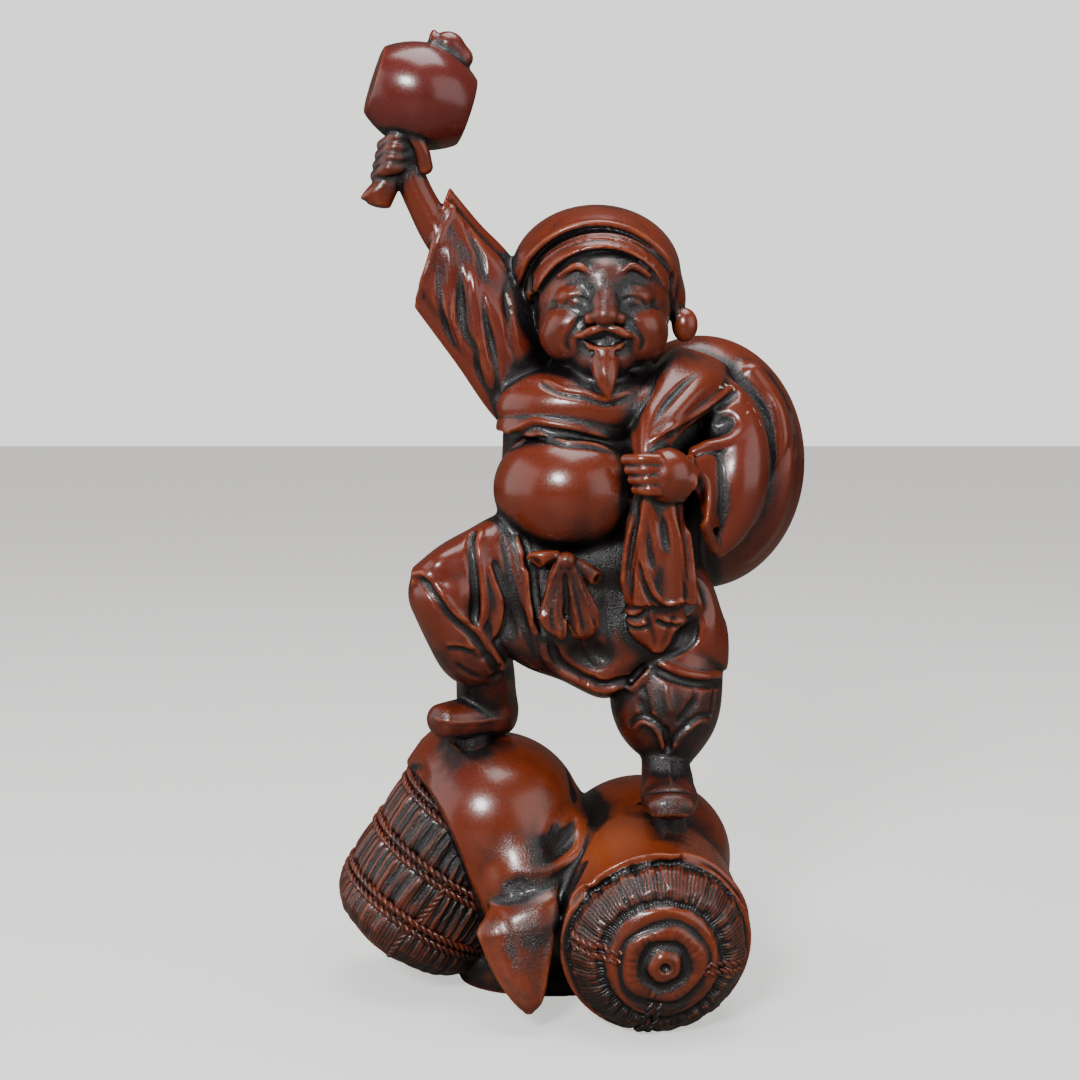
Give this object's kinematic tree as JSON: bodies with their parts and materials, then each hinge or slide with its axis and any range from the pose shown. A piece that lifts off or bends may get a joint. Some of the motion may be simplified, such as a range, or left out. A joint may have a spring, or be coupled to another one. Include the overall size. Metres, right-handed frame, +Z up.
{
  "type": "daikoku figure",
  "caption": "Cast figure of a smiling god of wealth in a soft cap, mallet raised and sack on the shoulder, standing on rice bales under a cloth, in dark red-brown lacquer",
  "frame": {"origin": "on the table, below the middle of the bales, at the flat underside", "axes": "+X to the figure's left hand (right in the picture), +Y to its back, +Z up"},
  "size_m": [0.1997, 0.1269, 0.4005],
  "materials": {
    "lacquered_base": "cast resin with a glossy red-brown lacquer, near black in the recesses and worn to orange-brown on the cloth",
    "lacquered_figure": "cast resin with a glossy red-brown lacquer, near black in the recesses, with a few hairline cracks and chips"
  },
  "bodies": {
    "root": {"bale_base": "lacquered_base", "figure": "lacquered_figure"}
  },
  "joints": []
}
